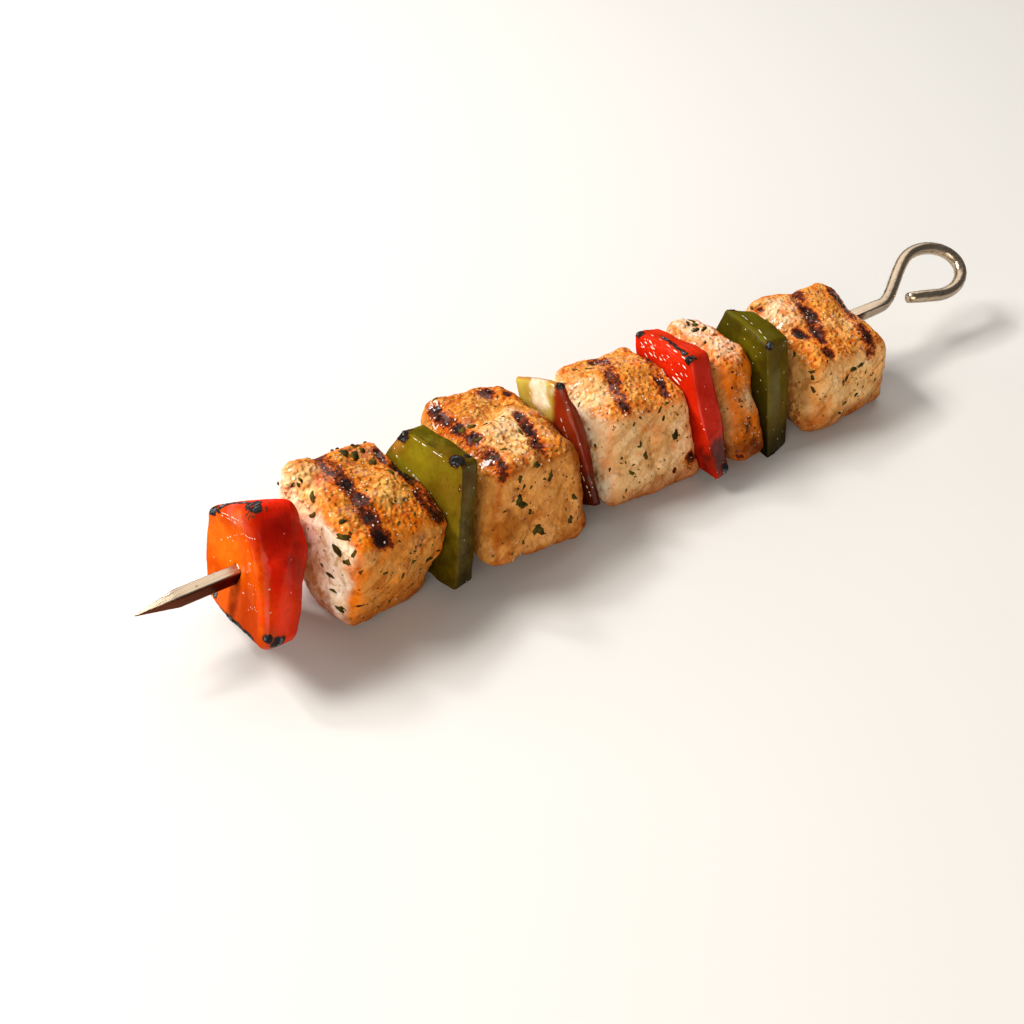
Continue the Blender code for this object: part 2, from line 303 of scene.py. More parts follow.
def soft_corner(share, half, edge):
    """Splits a place on a side into its flat run and its turn over the edge."""
    side, run = math.copysign(1.0, share), abs(share)
    if run <= FLAT_SHARE:
        return side * run / FLAT_SHARE * (half - edge), 0.0
    return side * (half - edge), side * (run - FLAT_SHARE) / (1.0 - FLAT_SHARE)


def uneven(point, waves):
    """A slow swell over a whole piece, of a depth, begun at its own place."""
    depth, start = waves
    return depth * (math.sin(0.31 * point.y + 1.7 * start)
                    * math.sin(0.27 * point.z + 2.3 * start)
                    + 0.5 * math.sin(0.43 * point.x + 3.1 * start)
                    * math.sin(0.53 * point.y + 0.9 * start))


def shaped(place, edge, at, size, turn, end_w, end_h, top_w, top_l, lean, slope,
           puff, waves, cup=0.0, dome=0.0):
    """Moves a point of a cube reaching from -1 to 1 onto a piece of food.

    end_w and end_h narrow and lower its ring end, top_w and top_l narrow and
    shorten its top. lean carries the top to the far side and slope lifts the
    far side. puff swells the sides, cup hollows the tip's face and dome rounds
    out the ring's."""
    half = Vector(side / 2 for side in size)
    flat, over = Vector(), Vector()
    for i in range(3):
        flat[i], bend = soft_corner(place[i], half[i], edge)
        over[i] = math.tan(bend * math.pi / 4)
    point = flat + over.normalized() * edge
    share = [point[i] / half[i] for i in range(3)]
    for i in range(3):
        j, k = (i + 1) % 3, (i + 2) % 3
        point[i] += puff[i] * share[i] * (1 - share[j] ** 2) * (1 - share[k] ** 2)
    along, across, up = (point[i] / half[i] for i in range(3))
    middle = (1 - min(1, across ** 2)) * (1 - min(1, up ** 2))
    point.x += (cup if along < 0 else dome) * middle * abs(along)
    point.x *= 1 - top_l * up
    point.y *= (1 - end_w * along) * (1 - top_w * up)
    point.z *= 1 - end_h * along
    point.y += lean * up
    point.z += slope * across
    point *= 1 + uneven(point, waves) / point.length
    point.rotate(turn)
    return point + at


def pressed(point, seams):
    """Keeps a point on its own side of its two seams and above the floor."""
    run, rise = point.y - ROD_Y + MIDDLE.y, point.z - ROD_Z
    (tip, tip_y, tip_z), (ring, ring_y, ring_z) = seams
    point.x = max(point.x, tip + tip_y * run + tip_z * rise + GAP / 2)
    point.x = min(point.x, ring + ring_y * run + ring_z * rise - GAP / 2)
    point.z = max(point.z, 0.0)
    return point


def pierce(shape):
    """Opens a hole for the skewer through a piece, a hair wider than the bar."""
    roll = Matrix.Rotation(math.radians(ROD_ROLL), 2)
    axis = Vector((ROD_Y, ROD_Z))

    def from_axis(place):
        """A place from the bar's axis, and the bar's own side that way."""
        offset = Vector(place[1:]) - axis
        return offset, roll @ bar_section((roll.transposed() @ offset).normalized(), 0.0)

    through = []
    for face in shape.faces:
        if abs(face.normal.x) > 0.4:  # it looks along the bar
            offset, rim = from_axis(face.calc_center_median())
            if offset.length < rim.length + BORE_PLAY:
                through.append(face)
    bmesh.ops.delete(shape, geom=through, context="FACES")
    edges = [edge for edge in shape.edges if edge.is_boundary]
    for vertex in {vertex for edge in edges for vertex in edge.verts}:
        offset, rim = from_axis(vertex.co)
        vertex.co[1:] = axis + rim * (1 + BORE_PLAY / rim.length)
    bmesh.ops.bridge_loops(shape, edges=edges)
    bmesh.ops.recalc_face_normals(shape, faces=shape.faces[:])


def food(name, number, edge, cells, sizes, relief, tone, grill):
    """Makes one piece: its form, then relief along its normals, then paint.

    The number is its place on the skewer from the tip. The tone layer is its
    own colour. The grill layer holds burning, wetness and grain."""
    seams = SEAMS[number:number + 2]
    sizes = dict(sizes, at=Vector(sizes["at"]),
                 turn=Euler([math.radians(angle) for angle in sizes["turn"]], "XZY"))
    shape = bmesh.new()
    bmesh.ops.create_cube(shape, size=2)
    bmesh.ops.subdivide_edges(shape, edges=shape.edges[:], cuts=cells - 1, use_grid_fill=True)
    for vertex in shape.verts:
        vertex.co = pressed(shaped(vertex.co.copy(), edge, **sizes), seams) + MIDDLE
    bmesh.ops.recalc_face_normals(shape, faces=shape.faces[:])
    shape.normal_update()
    places = {vertex: (vertex.co.copy(), vertex.normal.copy()) for vertex in shape.verts}
    for vertex, (spot, way) in places.items():
        vertex.co = pressed(spot + way * relief(spot, way) - MIDDLE, seams) + MIDDLE
    pierce(shape)
    painted = [places[vertex] for vertex in shape.verts]
    bmesh.ops.scale(shape, vec=(MM, MM, MM), verts=shape.verts[:])
    piece = finished("grilled_" + name, shape)
    for title, paint in (("tone", tone), ("grill", grill)):
        layer = piece.data.color_attributes.new(title, "FLOAT_COLOR", "POINT")
        values = []
        for spot, way in painted:
            values += [*paint(spot, way), 1.0]
        layer.data.foreach_set("color", values)
    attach(piece, "root")
    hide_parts(name)
    return piece


def by_side(way, sides, sharp=4):
    """Blends the colours of a piece's six sides by which way a place faces."""
    total, blend = 0.0, Vector()
    for axis, low, high in ((0, "tip", "ring"), (1, "near", "far"), (2, "foot", "top")):
        weight = abs(way[axis]) ** sharp
        blend += weight * Vector(sides[low if way[axis] < 0 else high])
        total += weight
    return blend / total


def patched(colour, spot, patches):
    """Lays soft round patches of other colours over a colour."""
    wander = 1.0 + 0.45 * noise.noise(spot * 0.45) + 0.25 * noise.noise(spot * 1.3)
    for place, radius, tint, strength in patches:
        apart = (spot - Vector(place)).length * wander
        cover = strength * (1 - ease(apart, 0.3 * radius, 1.2 * radius))
        colour = colour.lerp(Vector(tint), cover)
    return colour


def along_mark(spot, mark):
    """How far inside a straight mark a place lies: 1 on its middle, 0 outside."""
    x0, y0, x1, y1, width = mark
    run = Vector((x1 - x0, y1 - y0))
    offset = Vector((spot.x - x0, spot.y - y0))
    share = min(1.0, max(0.0, offset.dot(run) / run.length_squared))
    return 1 - ease((offset - run * share).length, 0.2 * width, 0.9 * width)


def spotted(spot, spots):
    """How far inside the nearest of some round spots a place lies."""
    return max((1 - ease((spot - Vector(place)).length, 0.3 * radius, 1.25 * radius)
                for *place, radius in spots), default=0.0)


def share_along(spot, start, stop):
    """How far along a straight run the place nearest a spot is, from 0 to 1."""
    return min(1.0, max(0.0, (spot - start).dot(stop - start) / (stop - start).length_squared))


def ruffled(place, *layers):
    """The height of a bumpy surface, from layers of a height and a fineness."""
    return sum(height * noise.noise(place * fineness) for height, fineness in layers)


def chicken(which, sizes, sides, marks=(), burns=(), patches=(), dents=(), creases=(),
            rind=1.0, amber=AMBER):
    """One piece of breast, every second piece on the skewer.

    marks: stripes from the grate, as x, y, x, y and width
    burns: burnt spots, as x, y, z and radius
    patches: place, radius, colour and strength
    dents: x, y, z, radius and depth; creases: start, stop, width and depth
    rind: how strongly the edges turn amber"""
    number = 2 * which - 1
    drift = Vector((37.0 * number, 11.0 * number, 5.0 * number))

    def burning(spot, way):
        barred = max(ease(way.z, 0.05, 0.5), ease(-way.z, 0.5, 0.9))
        worn = 0.80 + 0.85 * noise.noise((spot + drift) * 0.26)
        stripe = max((along_mark(spot, mark) for mark in marks), default=0.0)
        return max(0.80 * stripe * worn * barred, spotted(spot, burns) * (0.55 + 0.45 * worn))

    def relief(spot, way):
        place = spot + drift
        grain = Vector((place.x * 0.8 + place.z * 0.55, place.y, place.z * 0.4 - place.x * 0.25))
        side, top = 1 - abs(way.z), ease(way.z, 0.2, 0.8)
        height = ruffled(place, (0.80, 0.11), (0.42, 0.28), (0.17, 0.7))
        height += side * ruffled(grain, (0.13, 0.9), (0.05, 2.1))
        height += top * (0.16 * abs(noise.noise(place * 1.1)) + 0.07 * noise.noise(place * 2.3))
        height -= 0.4 * burning(spot, way)
        for *middle, radius, depth in dents:
            apart = (spot - Vector(middle)).length / radius
            height -= depth * math.exp(-2.2 * apart * apart)
        for start, stop, width, depth in creases:
            a, b = Vector(start), Vector(stop)
            share = share_along(spot, a, b)
            apart = ((spot - a - (b - a) * share).length + 0.7 * noise.noise(spot * 0.4)) / width
            height -= depth * math.exp(-apart * apart) * ease(share, 0, 0.2) * ease(1 - share, 0, 0.2)
        return height

    def tone(spot, way):
        drifted = spot + drift
        colour = by_side(way, sides)
        cornered = sorted(abs(part) for part in way)[1]
        edge = ease(cornered, 0.26, 0.60) * (0.95 + 0.9 * noise.noise(drifted * 0.2))
        edge *= 1 - 0.9 * ease(-way.x, 0.52, 0.76)
        colour = colour.lerp(Vector(amber), min(0.92, max(0.0, rind * edge)))
        colour = patched(colour, spot, patches)
        blotch = ease(noise.noise(drifted * 0.22) + 0.4 * noise.noise(drifted * 0.7), 0.10, 0.55)
        colour = colour.lerp(Vector(amber), 0.45 * blotch * (1 - ease(-way.x, 0.6, 0.9)))
        low = 1 - ease(spot.z, 0.8, 10.5 + 6 * noise.noise(drifted * 0.2))
        return colour.lerp(FOOT_BROWN, 0.85 * (low * ease(0.7 - way.z, 0, 0.4)))

    def grill(spot, way):
        top = ease(way.z, 0.25, 0.75)
        wet = max(0.8 * top, 0.22 + 0.9 * noise.noise((spot + drift) * 0.16))
        return burning(spot, way), min(1.0, max(0.0, wet)), 1 - abs(way.z)

    piece = food(f"chicken_{which}", number, CHICKEN_EDGE, CHICKEN_CELLS, sizes, relief, tone, grill)
    piece.data.materials.append(chicken_finish)


def make_chicken_finish():
    n = Nodes("grilled chicken")
    tone = n.painted("tone")
    burning, wet, grain = n.layer("grill")
    cloud = n.noise(170.0)
    patch = n.noise(430.0, rough=0.55)
    fleck = n.noise(1150.0, 4.0, 0.66)
    fibres = n.stretched((3.6, 1.0, 1.0), (0, math.radians(-38), 0))
    strand = n.noise(420.0, 5.0, 0.62, fibres, 0.5)
    skin = n.noise(620.0, rough=0.55, warp=0.8)
    blister = n.cells(850.0, "SMOOTH_F1")
    crust = n.ramp(wet, 0.45, 0.75)
    # the flesh: clouds, and dark and pale strands on the sides
    tone = n.dyed(tone, n.ramp(cloud, 0.34, 0.60, 0.80, 0.0), (0.92, 0.78, 0.58))
    tone = n.dyed(tone, n.times(n.ramp(patch, 0.48, 0.64), n.plus(grain, 0.2), 0.80), (1.10, 1.20, 1.35))
    tone = n.dyed(tone, n.times(n.ramp(strand, 0.50, 0.38), grain, 0.90), (0.66, 0.46, 0.26))
    tone = n.dyed(tone, n.times(n.ramp(strand, 0.52, 0.62), grain, 0.75), (1.14, 1.22, 1.36))
    # the crust: brown hollows and amber skin
    tone = n.dyed(tone, n.times(n.ramp(patch, 0.50, 0.40), crust, 0.90), (0.80, 0.50, 0.28))
    tone = n.mix(n.times(n.ramp(skin, 0.54, 0.61), crust, 0.50), tone, (0.86, 0.46, 0.10))
    # freckles of seasoning, amber and brown
    dots = n.times(n.ramp(n.cells(900.0), 0.24, 0.14), n.ramp(n.noise(240.0, 2.0), 0.50, 0.62), 0.65)
    tone = n.mix(dots, tone, (0.50, 0.16, 0.012))
    dots = n.times(n.ramp(n.cells(520.0), 0.22, 0.14), n.ramp(n.noise(310.0, 2.0), 0.51, 0.57), 0.85)
    tone = n.mix(dots, tone, (0.20, 0.055, 0.008))
    # burning: rust, dark brown, then black
    fire = n.plus(burning, n.swing(fleck, 1.5), n.swing(patch, 0.9))
    scorched = n.ramp(burning, 0.02, 0.20)
    tone = n.mix(n.times(n.ramp(fire, 0.05, 0.34), scorched, 0.85), tone, (0.52, 0.090, 0.006))
    tone = n.mix(n.times(n.ramp(fire, 0.36, 0.50), scorched), tone, (0.125, 0.020, 0.007))
    tone = n.mix(n.times(n.ramp(fire, 0.66, 0.84), scorched), tone, (0.022, 0.008, 0.006))
    height = n.plus(n.times(fleck, n.plus(crust, 0.5), 0.25), n.times(patch, 0.55),
                    n.times(strand, grain, 0.6),
                    n.times(n.ramp(blister, 0.55, 0.10), n.plus(crust, 0.25), 0.45))
    glaze = n.times(wet, n.ramp(cloud, 0.47, 0.60, 0.08, 0.85))
    return n.finish(Base_Color=tone, Roughness=0.6, Specular_IOR_Level=0.02,
                    Coat_Weight=glaze, Coat_Roughness=0.09,
                    Normal=n.bump(height, 1.0, 0.0009))


chicken_finish = make_chicken_finish()
chicken(1, dict(
    at=(-42.6, -1.2, 15.3), size=(26.0, 30.2, 26.0), turn=(2, 11, 11),
    end_w=0.03, end_h=0.05, top_w=0.01, top_l=-0.06, lean=-1.3, slope=1.8,
    puff=(2.6, 0.8, 1.6), waves=(0.6, 1.9)),
    dict(TURNED_AWAY, tip=(0.94, 0.80, 0.62), near=(0.62, 0.24, 0.045), top=(0.60, 0.20, 0.020)),
    marks=((-80.4, 10, -79.7, -18.5, 4.0), (-65.5, 8, -64.0, -15.5, 4.0)),
    burns=((-79.6, -17.2, 25.6, 2.6), (-64.0, -14.5, 23.0, 2.8), (-79.8, -0.5, 30.8, 3.0),
           (-77.0, 15.0, 32.5, 1.6), (-87.0, 10.5, 31.0, 1.2)),
    patches=(((-72.0, -6.0, 29.5), 6.5, (0.80, 0.44, 0.11), 0.8),
             ((-88.0, 3.0, 31.0), 6.5, (0.86, 0.56, 0.24), 0.85),
             # painted shade: the next two patches darken the tip face's lower left beside the first red
             # slab, as its shadow and its red reflected light
             ((-91.3, -8.0, 4.5), 7.5, (0.32, 0.06, 0.004), 0.9),
             ((-91.3, -2.5, 14.0), 7.5, (0.60, 0.25, 0.05), 0.8),
             ((-88.3, -18.2, 12.0), 3.6, (0.80, 0.19, 0.004), 0.8),
             ((-86.6, -17.4, 20.5), 3.2, (0.80, 0.19, 0.004), 0.7),
             ((-83.5, 1.0, 31.0), 3.4, (0.75, 0.11, 0.02), 0.8)),
    dents=((-72.0, 4.0, 32.0, 4.0, 0.8),))
chicken(2, dict(
    at=(-2.8, 0.6, 14.5), size=(26.6, 35.0, 26.0), turn=(-8, 5, -3),
    end_w=0.09, end_h=-0.04, top_w=0.01, top_l=0.16, lean=1.3, slope=1.1,
    puff=(3.6, 0.8, 1.0), waves=(0.6, 3.1)),
    dict(TURNED_AWAY, tip=(0.52, 0.22, 0.045), near=(0.72, 0.31, 0.075), top=(0.60, 0.20, 0.022)),
    marks=((-46.2, 18, -46.8, -13.5, 3.2), (-32.6, 1, -35.2, -11.5, 2.8)),
    burns=((-32.0, 16.0, 26.4, 2.8), (-34.9, -10.0, 27.9, 2.6), (-46.2, -11.5, 28.2, 1.8),
           (-27.8, 13.0, 26.2, 1.6), (-46.0, 16.5, 26.4, 1.6)),
    patches=(((-48.4, -17.5, 14.0), 5.0, (0.34, 0.10, 0.006), 0.8),
             ((-40.0, -4.5, 28.4), 8.5, (0.84, 0.55, 0.25), 0.9),
             ((-36.0, 1.5, 28.4), 5.0, (0.84, 0.60, 0.33), 0.9),
             ((-38.0, 9.5, 27.0), 5.0, (0.70, 0.36, 0.09), 0.8)),
    dents=((-31.5, 11.5, 26.6, 4.6, 1.5), (-37.0, 6.0, 28.0, 4.6, 1.5), (-42.5, 4.0, 28.3, 3.6, 1.0)),
    amber=(0.44, 0.105, 0.004))
chicken(3, dict(
    at=(34.6, 1.2, 12.8), size=(28.4, 27.0, 25.6), turn=(-8, 2, -2),
    end_w=0.01, end_h=0.0, top_w=0.04, top_l=0.12, lean=1.7, slope=1.3,
    puff=(3.6, 0.8, 1.6), waves=(0.6, 4.4)),
    dict(TURNED_AWAY, tip=(0.95, 0.80, 0.58), near=(0.84, 0.52, 0.24), top=(0.64, 0.24, 0.032),
         far=(0.54, 0.24, 0.07)),
    marks=((0.4, 13.5, -6.6, -6.6, 3.4), (12.2, 12, 5.9, -7.2, 2.3)),
    burns=((-6.7, -6.4, 25.4, 2.2), (-1.2, 12.4, 25.8, 2.4), (5.7, -7.2, 24.9, 1.8),
           (10.2, -14.8, 7.2, 2.4), (4.2, -15.2, 5.9, 1.0)),
    patches=(((-11.5, 2.5, 26.2), 6.0, (0.84, 0.62, 0.35), 0.9),
             ((-9.0, 13.0, 25.5), 2.6, (0.75, 0.20, 0.05), 0.7)),
    creases=(((-2.4, -12.0, 17.5), (-0.8, -15.6, 4.6), 1.5, 1.0),), rind=0.45)
chicken(4, dict(
    at=(63.2, -1.2, 13.7), size=(11.8, 24.6, 27.4), turn=(-4, 2, 0),
    end_w=0.07, end_h=0.02, top_w=0.14, top_l=0.0, lean=5.2, slope=0.0,
    puff=(2.2, 1.0, 0.6), waves=(0.6, 0.7)),
    dict(TURNED_AWAY, tip=(0.62, 0.30, 0.09), near=(0.55, 0.16, 0.028), top=(0.92, 0.56, 0.38),
         foot=(0.24, 0.06, 0.01)),
    burns=((30.2, 3.0, 26.8, 1.0), (22.8, -19.0, 4.0, 1.6)),
    patches=(((30.0, -13.0, 16.0), 4.0, (0.80, 0.52, 0.26), 0.8),
             ((27.0, -19.0, 5.0), 9.0, (0.13, 0.022, 0.003), 0.9)),
    dents=((27.5, -11.0, 21.0, 3.0, 0.8),))
chicken(5, dict(
    at=(98.0, -2.5, 12.9), size=(29.4, 31.8, 20.4), turn=(6, 2, 0),
    end_w=0.05, end_h=0.06, top_w=0.09, top_l=0.05, lean=0.5, slope=1.8,
    puff=(2.6, 0.8, 1.4), waves=(0.6, 2.6)),
    # painted shade: the tip face is painted darker, as in the shadow of the second green slab
    dict(TURNED_AWAY, tip=(0.50, 0.24, 0.07), near=(0.88, 0.50, 0.19), top=(0.68, 0.26, 0.04),
         far=(0.54, 0.24, 0.07)),
    marks=((65.4, 12, 57.2, -9.5, 3.8), (77.0, 10, 69.6, -15.5, 3.4), (53.3, -4.2, 54.0, -7.2, 2.6)),
    burns=((61.0, -1.5, 24.9, 2.4), (50.6, 7.5, 25.4, 1.5), (55.4, -14.0, 22.2, 2.3),
           (52.8, -5.7, 23.8, 1.8), (70.0, -13.6, 20.4, 2.4), (64.8, 9.4, 26.2, 2.2),
           (82.0, 1.0, 19.5, 1.8), (57.6, -8.5, 24.6, 2.0)),
    patches=(((54.0, 3.0, 25.8), 7.0, (0.92, 0.60, 0.34), 0.9),
             ((66.0, -7.5, 23.0), 5.0, (0.78, 0.46, 0.18), 0.7)), rind=0.28)


# ---------------- peppers
# Slabs cut from the walls of sweet peppers: two red, two green, and one thin
# slice of a ripening one that is green on one side and red at its edges. The
# skin is glossy and tight, the cut edges are sharp, and the corners are burnt.
PEPPER_CELLS = 60
GREEN_WALL = dict(far=(0.18, 0.13, 0.010), ring=(0.16, 0.11, 0.008), foot=(0.05, 0.03, 0.002))


def closest_on(spot, start, stop):
    """The place nearest a spot on a straight run."""
    a, b = Vector(start), Vector(stop)
    return a + (b - a) * share_along(spot, a, b)


def pepper(name, number, edge, sizes, sides, burns=(), patches=(), rims=(), blush=None,
           wrinkled=(), foot_shade=0.45):
    """One slab of pepper, at a place on the skewer counted from the tip.

    burns, patches: as on the chicken; wrinkled: spots of loose, shiny skin
    rims: burnt edges, as start, stop and width
    blush: a second colour past a line, as start, stop, the way it lies, the
    width it fades in over, and its tint
    foot_shade: how much darker the foot is painted, as painted shade"""
    drift = Vector((23.0 * number, 7.0 * number, 13.0 * number))

    def burning(spot, way):
        rim = max((1 - ease((spot - closest_on(spot, start, stop)).length
                            * (1 + 0.6 * noise.noise(spot * 0.9)), 0.4 * width, width)
                   for start, stop, width in rims), default=0.0)
        return max(rim * (0.75 + 0.7 * noise.noise(spot * 0.6)), spotted(spot, burns))

    def relief(spot, way):
        place = spot + drift
        height = ruffled(place, (0.35, 0.10), (0.13, 0.33), (0.03, 1.2))
        height += 0.16 * spotted(spot, wrinkled) * abs(noise.noise(place))
        return height + burning(spot, way) * (0.45 * abs(noise.noise(place * 1.1)) + 0.05)

    def tone(spot, way):
        colour = by_side(way, sides, 6)
        if blush:
            start, stop, toward, width, tint = blush
            past = (spot - closest_on(spot, start, stop)).dot(Vector(toward))
            past += 0.6 * noise.noise(spot * 0.4)
            colour = colour.lerp(Vector(tint), ease(past, 0, width))
        # painted shade: the lower part is painted darker towards the foot
        low = 1 - ease(spot.z, 1.0, 13.0)
        return patched(colour, spot, patches) * (1 - foot_shade * low)

    def grill(spot, way):
        skin = max(ease(-way.y, 0.3, 0.8), 0.20 * ease(-way.x, 0.4, 0.9), 0.10)
        loose = spotted(spot, wrinkled)
        return burning(spot, way), max(skin, 0.9 * loose), loose

    piece = food(name, number, edge, PEPPER_CELLS, sizes, relief, tone, grill)
    piece.data.materials.append(pepper_finish)


def make_pepper_finish():
    n = Nodes("grilled pepper")
    burning, gloss, wrinkles = n.layer("grill")
    cloud = n.noise(110.0)
    patch = n.noise(420.0, rough=0.55)
    fleck = n.noise(1200.0, rough=0.62)
    flakes = n.noise(800.0, rough=0.6, warp=0.8)
    # the flesh: clouds, paler patches, dark flecks and pits
    tone = n.dyed(n.painted("tone"), n.ramp(cloud, 0.34, 0.62, 0.9, 0.0), (0.80, 0.62, 0.50))
    tone = n.dyed(tone, n.ramp(patch, 0.48, 0.66, 0.0, 0.6), (1.12, 1.25, 1.20))
    tone = n.dyed(tone, n.ramp(fleck, 0.46, 0.34, 0.0, 0.5), (0.75, 0.62, 0.60))
    pits = n.times(n.ramp(n.cells(800.0), 0.16, 0.08), n.ramp(patch, 0.52, 0.60), 0.6)
    tone = n.mix(pits, tone, (0.10, 0.03, 0.01))
    # burning: brown, then black with flakes of grey ash
    fire = n.plus(burning, n.swing(fleck, 1.2), n.swing(patch, 0.9))
    scorched = n.ramp(burning, 0.02, 0.20)
    tone = n.mix(n.times(n.ramp(fire, 0.12, 0.36, 0.0, 0.8), scorched), tone, (0.10, 0.026, 0.006))
    tone = n.mix(n.times(n.ramp(fire, 0.36, 0.50), scorched), tone, (0.016, 0.013, 0.013))
    ash = n.times(n.ramp(flakes, 0.53, 0.60), n.ramp(fire, 0.55, 0.75), scorched, 0.8)
    tone = n.mix(ash, tone, (0.13, 0.16, 0.18))
    rough = n.plus(n.ramp(fire, 0.30, 0.60, 0.0, 0.2), n.ramp(cloud, 0.35, 0.65, 0.45, 0.60))
    crinkled = n.math("MAXIMUM", n.times(n.ramp(fire, 0.2, 0.6), scorched), wrinkles)
    height = n.plus(n.times(cloud, 0.5), n.times(fleck, 0.12), n.times(n.noise(900.0, 2.0), crinkled, 1.5))
    shine = n.times(gloss, n.ramp(cloud, 0.36, 0.56, 0.30, 1.0), n.ramp(burning, 0.35, 0.8, 0.36, 0.20))
    return n.finish(Base_Color=tone, Roughness=rough, Specular_IOR_Level=0.0,
                    Subsurface_Weight=0.05, Subsurface_Scale=0.002,
                    Subsurface_Radius=(1.0, 0.3, 0.1),
                    Coat_Weight=shine, Coat_Roughness=0.05,
                    Normal=n.bump(height, 0.6, 0.0006))


pepper_finish = make_pepper_finish()
pepper("red_pepper_1", 0, 2.0, dict(
    at=(-68.6, -0.8, 18.7), size=(10.2, 20.6, 20.6), turn=(21, 16, -4),
    end_w=0.09, end_h=-0.07, top_w=0.26, top_l=-0.06, lean=8.6, slope=-10.2,
    puff=(1.2, 1.8, 0.6), cup=3.6, dome=4.5, waves=(0.25, 0.4)),
    dict(tip=(0.60, 0.078, 0.002), near=(0.60, 0.050, 0.002), top=(0.66, 0.030, 0.004),
         far=(0.70, 0.05, 0.005), ring=(0.55, 0.025, 0.004), foot=(0.30, 0.010, 0.002)),
    burns=((-107.7, -20.6, 13.9, 1.9), (-109.4, -20.0, 15.6, 1.2), (-111.0, 6.5, 8.0, 1.4)),
    patches=(((-105.5, 6.0, 31.0), 5.0, (0.62, 0.034, 0.003), 0.8),
             ((-108.5, 5.0, 20.0), 8.5, (0.78, 0.145, 0.003), 0.9),
             ((-110.0, -11.0, 14.0), 12.0, (0.32, 0.032, 0.002), 0.85),
             ((-102.0, -8.5, 33.0), 8.0, (0.34, 0.006, 0.002), 0.85),
             ((-96.5, -15.5, 24.0), 6.5, (0.40, 0.008, 0.002), 0.8),
             ((-103.5, -18.5, 19.0), 6.5, (0.94, 0.045, 0.003), 0.85)),
    rims=(((-100.4, 0.5, 34.0), (-102.9, 6.8, 30.6), 1.2),
          ((-102.9, 6.8, 30.6), (-106.0, 13.0, 25.0), 1.4),
          ((-102.4, -5.5, 36.4), (-100.4, 0.5, 34.2), 2.2),
          ((-101.5, -5.0, 36.0), (-97.0, -5.5, 35.8), 0.8),
          ((-111.0, -15.0, 12.0), (-111.0, 6.0, 5.0), 0.9)),
    blush=((-108.6, -20.5, 14.0), (-103.6, -9.5, 35.0), (0.95, -0.3, 0.0), 1.2, (0.74, 0.018, 0.003)),
    wrinkled=((-105.0, 4.0, 30.0, 3.5), (-104.8, -1.5, 32.0, 3.0)), foot_shade=0.35)
pepper("green_pepper_1", 2, 1.3, dict(
    at=(-26.4, -3.0, 18.8), size=(7.4, 28.0, 31.4), turn=(-3, 10, 11),
    end_w=0.04, end_h=0.0, top_w=0.34, top_l=-0.05, lean=-3.2, slope=0.4,
    puff=(0.8, 0.5, 0.4), cup=0.5, dome=3.6, waves=(0.25, 0.9)),
    dict(GREEN_WALL, tip=(0.15, 0.105, 0.005), near=(0.10, 0.065, 0.004), top=(0.085, 0.065, 0.003)),
    burns=((-57.8, -12.2, 34.4, 2.2), (-62.4, 4.6, 33.9, 3.0), (-64.6, 8.0, 31.5, 1.0)),
    # painted highlight: the first patch, pale tan, stands for glare near the top corner
    patches=(((-63.6, 5.0, 31.5), 3.2, (0.62, 0.28, 0.06), 0.8),
             ((-62.2, -1.0, 29.0), 7.0, (0.22, 0.17, 0.006), 0.9),
             # painted shadow: a dark patch over the lower tip face, in the shade of the chicken beside it
             ((-60.0, -9.0, 11.0), 12.0, (0.026, 0.017, 0.001), 0.9),
             ((-60.0, -12.5, 27.0), 4.5, (0.16, 0.09, 0.006), 0.8),
             ((-60.0, -8.0, 33.0), 4.0, (0.16, 0.10, 0.005), 0.8)),
    rims=(((-58.6, -12.5, 33.6), (-55.0, -11.5, 34.0), 0.9),
          ((-59.2, -15.2, 30.0), (-59.4, -17.6, 10.0), 0.55)), foot_shade=0.75)
pepper("mixed_pepper", 4, 0.8, dict(
    at=(12.9, 0.0, 17.0), size=(2.2, 19.6, 29.6), turn=(-15, 1, 1),
    end_w=-0.07, end_h=0.0, top_w=0.02, top_l=0.0, lean=4.6, slope=-1.6,
    puff=(1.2, 0.4, 0.4), cup=-0.2, dome=3.4, waves=(0.15, 2.3)),
    dict(tip=(0.42, 0.30, 0.045), near=(0.30, 0.045, 0.012), top=(0.36, 0.16, 0.03),
         far=(0.36, 0.22, 0.03), ring=(0.36, 0.08, 0.015), foot=(0.10, 0.02, 0.006)),
    burns=((-22.0, -0.8, 33.8, 1.3), (-23.0, 11.5, 31.5, 0.9)),
    # a pale patch of peeled skin, brightened to cream as a painted reflection
    patches=(((-23.6, 5.6, 28.6), 4.4, (0.84, 0.82, 0.68), 0.95),
             ((-22.8, -14.0, 9.0), 9.0, (0.07, 0.011, 0.002), 0.9)),
    blush=((-23.3, -2.0, 5.0), (-23.3, 1.5, 34.0), (0.0, -1.0, 0.0), 1.8, (0.26, 0.026, 0.006)), foot_shade=0.8)
